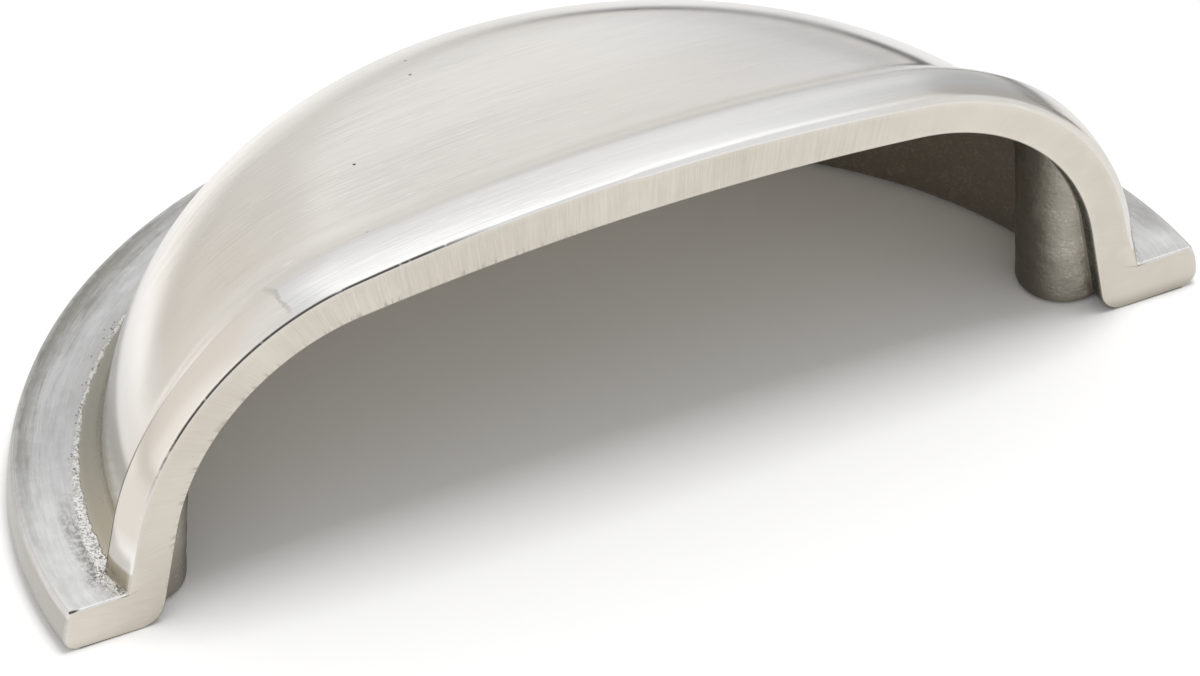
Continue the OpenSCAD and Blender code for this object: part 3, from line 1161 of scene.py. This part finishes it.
brushedSurface = {
    "brush": {"Stroke": 6.0, "Hair": 0.09},
    "grainSize": 0.8,
    "wearReach": 0.35,
    "patchEnd": -27.45,  # x of the thin line at the left end of the lip's painted reflection
    "crestDepth": 3.05,
    "onFlange": 0.4,  # how much of the brushing shows there
}


def coveShadeTone(coats):
    # painted shade in the cove, darker low in it and warmer towards the front
    cove = Coats(coats.tree, coats.at, brushedPlaces, nickel["cove"])
    cove.lay("coveShadeLow", "coveShadeLow")
    cove.lay("coveShadeFoot", "coveShadeFoot")
    return cove.tone


def ruggedStrip(coats):
    # rough metal where the cove meets the flange, widest at the foot
    tree, at = coats.tree, coats.at
    nearFoot = coats.mask("nearFoot")
    uneven = noise(tree, at["place"], 1.5, 4.0, 0.65)
    atFoot = ramp(tree, at["y"], -1.5, -4.5, 0.0, 0.55)
    ragged = weighted(tree, (at["root"], 1.0), (uneven, 0.8), (atFoot, 1.0))
    at["ragged"] = ragged
    at["inStrip"] = maths(tree, "SUBTRACT", blendValue(tree, nearFoot, 0.66, 1.45), ragged)
    return coats.mask("strip", blendValue(tree, nearFoot, 0.6, 1.0))


def paintBrushed():
    tree, shader, at = startMaterial("brushedNickel", "depth", "onFlange", "root", "edge")
    place, uv, x, onFlange = at["place"], at["uv"], at["x"], at["onFlange"]
    surface = brushedSurface
    brush = group(tree, brushGrain, {"Coordinates": uv, **surface["brush"]})
    cast = group(tree, castGrain, {"Coordinates": place, "Size": surface["grainSize"]})
    wear = {"Coordinates": place, "Distance": at["edge"], "Reach": surface["wearReach"]}
    worn = group(tree, edgeWear, wear)["Worn"]
    at["patch"] = smear(tree, uv, 0.09, 0.3, 3.0, 0.6)
    at["wave"] = weighted(tree, (x, 1.0), (noise(tree, place, 0.55, 3.0), 1.6))
    at["fromPatch"] = maths(tree, "ABSOLUTE", maths(tree, "SUBTRACT", at["wave"], surface["patchEnd"]))
    at["fromCrest"] = maths(tree, "ABSOLUTE", maths(tree, "SUBTRACT", at["depth"], surface["crestDepth"]))
    at["broken"] = noise(tree, place, 0.9, 3.0)
    coats = Coats(tree, at, brushedPlaces, nickel["dome"])
    onTop, aboveFeet = coats.mask("top"), coats.mask("aboveFeet")
    # brush marks show most left of the middle and hardly at all on the left end
    most = product(tree, maths(tree, "ADD", coats.mask("strokes"), 0.14), coats.mask("strokePatches"))
    shown = blendValue(tree, onFlange, most, surface["onFlange"])
    streak = product(tree, brush["Streak"], shown)
    coats.lay(coats.mask("domeLeft", onTop), "domeWarm")
    coats.lay(coats.mask("warmLeft", maths(tree, "MAXIMUM", onTop, coats.mask("front"))), "warm")
    # painted light: the valley behind the lip is painted lighter
    coats.lay(coats.mask("valleyLight", aboveFeet), "valleyLight")
    coats.lay(coats.mask("band", onTop), "domeBand")
    # a painted reflection: the lip is painted whiter up to a patch that ends in a thin line on the left, and
    # warmer left of it
    onLip = coats.mask("lip", aboveFeet)
    coats.lay(coats.mask("lipReflection", onLip), "lip")
    coats.lay(coats.mask("warmLip", onLip), "lipWarm")
    # painted reflection: a beige band along the rounded front edge on the right
    coats.lay("rolledEdgeReflection", "lipEdgeReflection")
    coats.lay(coats.mask("patchLine", onLip), "sootAndShade")
    coats.lay(onFlange, flangeTone(tree, at))
    coats.shade(product(tree, streak, 0.75), 0.88)
    coats.lay(product(tree, brush["Scratch"], shown, 0.7), "scratch")
    cove, strip = coats.mask("cove"), ruggedStrip(coats)
    # painted highlight on the wall just above the cove, on the left
    coats.lay("coveWallHighlight", "coveWallHighlight")
    # painted shade in the cove
    coats.lay(product(tree, cove, 0.95), coveShadeTone(coats))
    raised = ramp(tree, cast["Height"], 0.43, 0.53)
    grain = blendColour(tree, raised, nickel["grainDark"], nickel["grainBright"])
    coats.lay(product(tree, strip, 0.95), grain)
    coats.lay(product(tree, worn, 0.35), "polish")
    drawnOut = (nick["stretch"], 1.0, 1.0)
    nickPlace = (nick["place"][0] * nick["stretch"], *nick["place"][1:])
    marks = [coats.mask("burrAndShade"), coats.mask("crest"), pits(tree, place, 0.075, 0.075)]
    marks.append(spots(tree, place, pitPlaces, pitRadius))
    marks.append(spots(tree, stretched(tree, place, drawnOut), [nickPlace], nick["radius"]))
    # the crest line is painted shade; the edge line, pits, spots and nick are dark marks
    coats.lay(chain(tree, "MAXIMUM", *marks), "grimeAndShade")
    tree.links.new(coats.tone, shader.inputs["Base Color"])
    smudge, soft = smear(tree, uv, 0.07, 0.42, 5.0, 0.66), coats.mask("soft", aboveFeet)
    rim = coats.mask("rimRight", maths(tree, "MAXIMUM", coats.mask("rimBack"), coats.mask("rimLip")))
    base = blendValue(tree, onFlange, 0.155, 0.25)
    pairs = (base, 1.0), (streak, 0.07), (smudge, 0.07), (cove, 0.08), (soft, 0.13), (rim, -0.08)
    rough = blendValue(tree, strip, weighted(tree, *pairs), 0.3)
    tree.links.new(weighted(tree, (rough, 1.0), (worn, -0.05)), shader.inputs["Roughness"])
    normal = bump(tree, product(tree, brush["Height"], shown), 0.004, 0.4)
    normal = bump(tree, product(tree, cast["Height"], strip), 0.2, 0.8, normal)
    tree.links.new(normal, shader.inputs["Normal"])
    shader.inputs["Anisotropic"].default_value = 0.5
    shader.inputs["Anisotropic Rotation"].default_value = 0.25
    tangent = node(tree, "ShaderNodeTangent", direction_type="UV_MAP", uv_map="brushing")
    tree.links.new(tangent.outputs[0], shader.inputs["Tangent"])


facePlaces = {
    "dull": [("cloud", 0.35, 0.65)],
    "strokes": [("x", -34, -22, 0.4, 0.8), ("x", 26, 14, 0.2)],
    "rightEnd": [("x", 33, 44, 0, 0.6)],
    "left": [("x", 14, -8)],
    # painted shade along the bottom edge of the face, strongest on the right foot
    "bottomEdgeShade": [("z", 1.3, 0), ("x", 30, 36, 0.3)],
    # ragged ticks where the brush leaves the band
    "ticks": [("edge", 0.34, 0.02), ("tick", 0.5, 0.64), ("across", 0.8, 1.3), ("x", 4, -14), 0.5],
}
faceSurface = {"brush": {"Stroke": 1.7, "Hair": 0.085}, "wearReach": 0.2}


def paintFace():
    tree, shader, at = startMaterial("faceNickel", "edge")
    parts = split(tree, at["uv"])
    crossed = node(tree, "ShaderNodeCombineXYZ", {0: parts[1], 1: parts[0]}).outputs[0]
    brush = group(tree, brushGrain, {"Coordinates": crossed, **faceSurface["brush"]})
    wear = {"Coordinates": at["place"], "Distance": at["edge"], "Reach": faceSurface["wearReach"]}
    at["cloud"] = noise(tree, at["place"], 0.12, 3.0, 0.6)
    at["tick"] = smear(tree, crossed, 0.4, 3.2, 2.0)
    at["across"] = parts[1]
    coats = Coats(tree, at, facePlaces, nickel["face"])
    coats.lay("dull", "faceDull")
    shown = coats.mask("strokes")
    coats.shade(product(tree, brush["Streak"], shown), 0.86)
    coats.lay(product(tree, brush["Scratch"], shown, 0.5), "faceScratch")
    coats.shade("rightEnd", 0.88)
    coats.shade("left", 1.045)
    # painted shade along the bottom edge of the face, strongest on the right foot
    coats.shade("bottomEdgeShade", 0.68)
    coats.lay(product(tree, group(tree, edgeWear, wear)["Worn"], 0.25), "facePolish")
    coats.lay("ticks", "faceTick")
    marks = pits(tree, at["place"], 0.09, 0.07), spots(tree, at["place"], pitPlaces, pitRadius)
    coats.lay(chain(tree, "MAXIMUM", *marks), "grimeAndShade")
    tree.links.new(coats.tone, shader.inputs["Base Color"])
    tree.links.new(maths(tree, "ADD", product(tree, brush["Streak"], 0.1), 0.3), shader.inputs["Roughness"])
    tree.links.new(bump(tree, brush["Height"], 0.008, 0.5), shader.inputs["Normal"])


castPlaces = {
    "roof": [("z", 13, 18)],
    # painted shade on the inner wall beside each boss, behind the front face
    "besideBossShade": [("fromMiddle", 31, 34), ("y", -0.5, -2), ("z", 17, 13)],
    "boss": [("fromBoss", boss["radius"] + 0.5, boss["radius"] + 0.32)],
    # a painted highlight on the bosses, on the side of the mouth
    "rubbed": [("fromMouth", 0.72, 0.2), ("y", 1, -1), ("z", 0.5, 6, 0.6, 1)],
    # a painted shadow on the side of each boss towards the outer wall
    "gapShade": [("outward", 0.46, 0.58, 0, 0.85)],
    "wrinkles": [("outward", -0.2, 0.3, 0.3, 1.6)],
    "mountingFace": [("z", 0.25, 0.04)],
}
castSurface = {"grainSize": 1.5, "wearReach": 0.5, "speckle": 0.3, "mouthSide": -0.27}


def paintCast():
    tree, shader, at = startMaterial("castNickel", "edge")
    place, surface = at["place"], castSurface
    cast = group(tree, castGrain, {"Coordinates": place, "Size": surface["grainSize"]})
    wear = {"Coordinates": place, "Distance": at["edge"], "Reach": surface["wearReach"]}
    mirrored = vectorMaths(tree, "ABSOLUTE", stretched(tree, place, (1.0, 1.0, 0.0))).outputs[0]
    centre = (boss["spacing"] / 2, 0.0, 0.0)
    draft = product(tree, at["z"], math.tan(math.radians(boss["draft"])))
    outward = vectorMaths(tree, "SUBTRACT", mirrored, centre).outputs[0]
    facing = vectorMaths(tree, "NORMALIZE", outward).outputs[0]
    at["fromMiddle"] = split(tree, mirrored)[0]
    at["fromBoss"] = maths(tree, "SUBTRACT", distance(tree, mirrored, centre), draft)
    at["outward"] = split(tree, facing)[0]
    at["fromMouth"] = maths(tree, "ABSOLUTE", maths(tree, "SUBTRACT", at["outward"], surface["mouthSide"]))
    speckle = product(tree, cast["Speckle"], surface["speckle"])
    ground = blendColour(tree, speckle, nickel["castDarkAndShade"], nickel["castBright"])
    # the bosses: painted shade all round, a painted highlight brighter than the hollow on the side of the
    # mouth, and a painted shadow on the side towards the outer wall
    bossShading = Coats(tree, at, castPlaces, nickel["bossShade"])
    bossShading.lay("rubbed", blendColour(tree, cast["Speckle"], nickel["bossHighlight"], nickel["bossHighlightSpeckle"]))
    # painted shadow on the side of each boss towards the outer wall
    bossShading.lay("gapShade", "castGapShade")
    onBoss = bossShading.mask("boss")
    # the hollow's dark tone is partly painted shade; the roof is lighter
    coats = Coats(tree, at, castPlaces, nickel["castDarkAndShade"])
    coats.lay("roof", "roof")
    # painted shade on the inner wall beside each boss, behind the front face
    coats.lay("besideBossShade", "castGapShade")
    coats.lay(speckle, "castBright")
    coats.lay(onBoss, bossShading.tone)
    coats.lay("mountingFace", ground)  # one even tone with the ends of the bosses
    coats.lay(product(tree, group(tree, edgeWear, wear)["Worn"], 0.4), "castBright")
    tree.links.new(coats.tone, shader.inputs["Base Color"])
    rough = blendValue(tree, onBoss, 0.5, ramp(tree, cast["Speckle"], 0.0, 1.0, 0.5, 0.4))
    tree.links.new(rough, shader.inputs["Roughness"])
    wrinkle = noise(tree, stretched(tree, place, (0.9, 0.9, 2.6)), 1.0, 3.0, 0.6)
    relief = product(tree, cast["Height"], blendValue(tree, onBoss, 0.5, 0.55))
    relief = maths(tree, "ADD", relief, coats.mask("wrinkles", wrinkle, onBoss))
    tree.links.new(bump(tree, relief, 0.26, 0.7), shader.inputs["Normal"])


paintBrushed()
paintFace()
paintCast()
print("finishes painted")
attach(pull, "root")
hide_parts("cup_pull")

floorSize = {"half": 1500.0, "drop": 0.01}
floorPlaces = {  # in metres; what the metal mirrors of the floor is darker in a ring on the right
    "ring": [("away", 0.1, 0.15), ("away", 0.5, 0.36), ("x", 0.03, 0.14), ("y", -0.02, 0.04)],
    "ringFar": [("sideways", 0, 0.06)],
    "behind": [("x", 0.03, -0.01), ("y", 0.03, 0.06)],
    "behindFar": [("reach", 0.088, 0.15)],
}
floorTones = {
    "seen": (1.19, 1.19, 1.19, 1),
    "scattered": (0.80, 0.79, 0.765, 1),
    "mirrored": (1.02, 1.02, 1.02, 1),
    "ring": (0.1, 0.1, 0.105, 1),
    "ringFar": (0.26, 0.26, 0.265, 1),
    "behind": (1.28, 1.28, 1.28, 1),
    "behindFar": (0.84, 0.83, 0.82, 1),
}
ringCentre = (0.03, 0, 0)


def emptyTree(owner):
    owner.use_nodes = True
    owner.node_tree.nodes.clear()
    return owner.node_tree


def finishTree(tree, surface, kind="ShaderNodeOutputMaterial"):
    tree.links.new(surface, node(tree, kind).inputs[0])


def mixShaders(tree, factor, a, b):
    mix = node(tree, "ShaderNodeMixShader", {0: factor, 1: a})
    tree.links.new(b, mix.inputs[2])
    return mix.outputs[0]


def floorTone(tree, rays):
    place = node(tree, "ShaderNodeTexCoord").outputs["Object"]
    x, y, _ = split(tree, place)
    at = {"x": x, "y": y, "away": distance(tree, place, ringCentre)}
    at["sideways"] = maths(tree, "SUBTRACT", x, product(tree, y, 1.2))
    at["reach"] = vectorMaths(tree, "LENGTH", place).outputs["Value"]
    starts = (floorTones[k] for k in ("ring", "behind", "mirrored"))
    ring, behind, coats = (Coats(tree, at, floorPlaces, tone) for tone in starts)
    ring.lay("ringFar", floorTones["ringFar"])
    behind.lay("behindFar", floorTones["behindFar"])
    coats.lay("ring", ring.tone)
    coats.lay("behind", behind.tone)
    colour = blendColour(tree, rays["Is Glossy Ray"], floorTones["scattered"], coats.tone)
    return blendColour(tree, rays["Is Camera Ray"], colour, floorTones["seen"])


def buildFloor():
    h, low = floorSize["half"] * mm, -floorSize["drop"] * mm
    mesh = bpy.data.meshes.new("floor")
    mesh.from_pydata([(-h, -h, low), (h, -h, low), (h, h, low), (-h, h, low)], [], [(0, 1, 2, 3)])
    floor = link("floor", mesh)
    material = bpy.data.materials.new("paleFloor")
    tree = emptyTree(material)
    rays = node(tree, "ShaderNodeLightPath").outputs
    surface = node(tree, "ShaderNodeBsdfDiffuse", {"Color": floorTone(tree, rays)}).outputs[0]
    # clear from below, so that the mounting face can be looked at
    below = product(tree, node(tree, "ShaderNodeNewGeometry").outputs["Backfacing"], rays["Is Camera Ray"])
    clear = node(tree, "ShaderNodeBsdfTransparent").outputs[0]
    finishTree(tree, mixShaders(tree, below, surface, clear))
    mesh.materials.append(material)


worldLight = 0.58


def lightWorld():
    world = bpy.data.worlds.new("studio")
    bpy.context.scene.world = world
    tree = emptyTree(world)
    rays = node(tree, "ShaderNodeLightPath").outputs
    white = (1, 1, 1, 1)
    dim, full = (
        node(tree, "ShaderNodeBackground", {"Color": white, "Strength": strength}).outputs[0]
        for strength in (worldLight, 1.0)
    )
    finishTree(tree, mixShaders(tree, rays["Is Camera Ray"], dim, full), "ShaderNodeOutputWorld")
    world.cycles_visibility.glossy = False  # the metal sees the tent instead


# what the metal reflects: azimuth from the back (0) to the right (90), elevation, edge softness, colour
cards = {
    "overhead": ((-15, 215), (54, 200), (30, 12), (1.28, 1.295, 1.315)),
    "overheadCore": ((-15, 215), (64, 200), (30, 10), (1.34, 1.36, 1.39)),
    "leftBox": ((-115, -64), (-20, 50), (8, 10), (1.08, 1.08, 1.075)),
    "backLeft": ((-36, 12), (-20, 46), (14, 10), (0.825, 0.82, 0.815)),
    "warmLeft": ((-61, -28), (-20, 46), (10, 10), (0.85, 0.82, 0.79)),
    "backBox": ((8, 42), (14, 60), (10, 8), (0.99, 1.0, 1.02)),
    "rightHaze": ((31, 60), (-20, 26), (10, 8), (0.67, 0.68, 0.69)),
    "rightFlag": ((47, 98), (-20, 42), (10, 8), (0.55, 0.56, 0.575)),
    "horizonHaze": ((-50, 14), (-20, 4.5), (10, 3), (0.74, 0.73, 0.72)),
    "horizonMid": ((14, 60), (-20, 4.5), (10, 3), (0.87, 0.855, 0.84)),
    "horizonFlag": ((52, 90), (-20, 4), (14, 3), (0.23, 0.23, 0.235)),
}
tent = {"radius": 1.0, "rings": 48, "turns": 48, "colour": (0.89, 0.905, 0.93, 1), "overlap": 20}


def window(tree, value, span, soft):
    opening = ramp(tree, value, span[0] - soft / 2, span[0] + soft / 2)
    return product(tree, opening, ramp(tree, value, span[1] + soft / 2, span[1] - soft / 2))


def tentMesh():
    rings, turns, radius = tent["rings"], tent["turns"], tent["radius"]
    points, faces = [(0, 0, radius)], []
    for i in range(1, rings):
        for k in range(turns):
            e, a = math.pi * i / rings, 2 * math.pi * k / turns
            reach = radius * math.sin(e)
            points.append((reach * math.cos(a), reach * math.sin(a), radius * math.cos(e)))
    last = 1 + (rings - 2) * turns
    for k in range(turns):
        n = (k + 1) % turns
        faces += [(0, 1 + n, 1 + k), (last + turns, last + k, last + n)]
        for top in range(1, last, turns):
            faces.append((top + k, top + n, top + turns + n, top + turns + k))
    points.append((0, 0, -radius))
    mesh = bpy.data.meshes.new("tent")
    mesh.from_pydata(points, [], faces)
    mesh.shade_smooth()
    return mesh


def tentTone(tree):
    x, y, z = split(tree, node(tree, "ShaderNodeTexCoord").outputs["Object"])
    azimuth = product(tree, maths(tree, "ARCTAN2", x, y), math.degrees(1))
    level = maths(tree, "DIVIDE", z, tent["radius"])
    elevation = product(tree, maths(tree, "ARCSINE", level), math.degrees(1))
    colour = tent["colour"]
    for around, rise, soft, cardColour in cards.values():
        turned = azimuth
        if around[1] > 180:
            wrapped = maths(tree, "LESS_THAN", azimuth, around[1] - 360 + tent["overlap"])
            turned = maths(tree, "ADD", azimuth, product(tree, wrapped, 360.0))
        mask = product(tree, window(tree, turned, around, soft[0]), window(tree, elevation, rise, soft[1]))
        colour = blendColour(tree, mask, colour, (*cardColour, 1))
    return colour


def buildTent():
    mesh = tentMesh()
    ball = link("tent", mesh)
    material = bpy.data.materials.new("softTent")
    tree = emptyTree(material)
    glow = node(tree, "ShaderNodeEmission", {"Color": tentTone(tree), "Strength": 1.0})
    finishTree(tree, glow.outputs[0])
    material.cycles.emission_sampling = "NONE"
    mesh.materials.append(material)
    ball.visible_camera = ball.visible_diffuse = ball.visible_shadow = False
    ball.visible_transmission = ball.visible_volume_scatter = False


view = {
    "azimuth": -28.42,
    "elevation": 38.42,
    "roll": 0.66,
    "distance": 979.3,
    "pixelsPerMm": 13.80,
    "originPixel": (640.2, 465.5),
    "imageSize": (1200, 676),
    "sensor": 36,
    "clip": (0.01, 20),
}


def placeCamera():
    a, e, roll = (math.radians(view[k]) for k in ("azimuth", "elevation", "roll"))
    back = Vector((math.sin(a) * math.cos(e), -math.cos(a) * math.cos(e), math.sin(e)))
    side = Vector((math.cos(a), math.sin(a), 0))
    up = back.cross(side)
    right = side * math.cos(roll) + up * math.sin(roll)
    top = up * math.cos(roll) - side * math.sin(roll)
    width, height = view["imageSize"]
    px, py = view["originPixel"]
    scale = view["pixelsPerMm"]
    centre = back * view["distance"] - right * ((px - width / 2) / scale) - top * ((height / 2 - py) / scale)
    centre.y -= boss["setback"]
    camera = bpy.data.cameras.new("camera")
    camera.sensor_width = view["sensor"]
    camera.lens = scale * view["distance"] * view["sensor"] / width
    camera.clip_start, camera.clip_end = view["clip"]
    holder = link("camera", camera)
    holder.matrix_world = Matrix.Translation(centre * mm) @ Matrix((right, top, back)).transposed().to_4x4()
    bpy.context.scene.camera = holder


lamp = {"size": 0.36, "strength": 7.72, "place": (0.1, 0.0, 0.9)}  # aimed at the origin


def hangLamp():
    light = bpy.data.lights.new("overhead", "AREA")
    light.shape = "RECTANGLE"
    light.size = light.size_y = lamp["size"]
    light.energy = lamp["strength"] * math.pi * lamp["size"] ** 2
    holder = link("overhead", light)
    holder.location = lamp["place"]
    holder.rotation_euler = (-Vector(lamp["place"])).to_track_quat("-Z", "Y").to_euler()
    holder.visible_glossy = False


buildFloor()
buildTent()
lightWorld()
placeCamera()
hangLamp()
bpy.context.scene.view_settings.view_transform = "Standard"
print("studio ready")
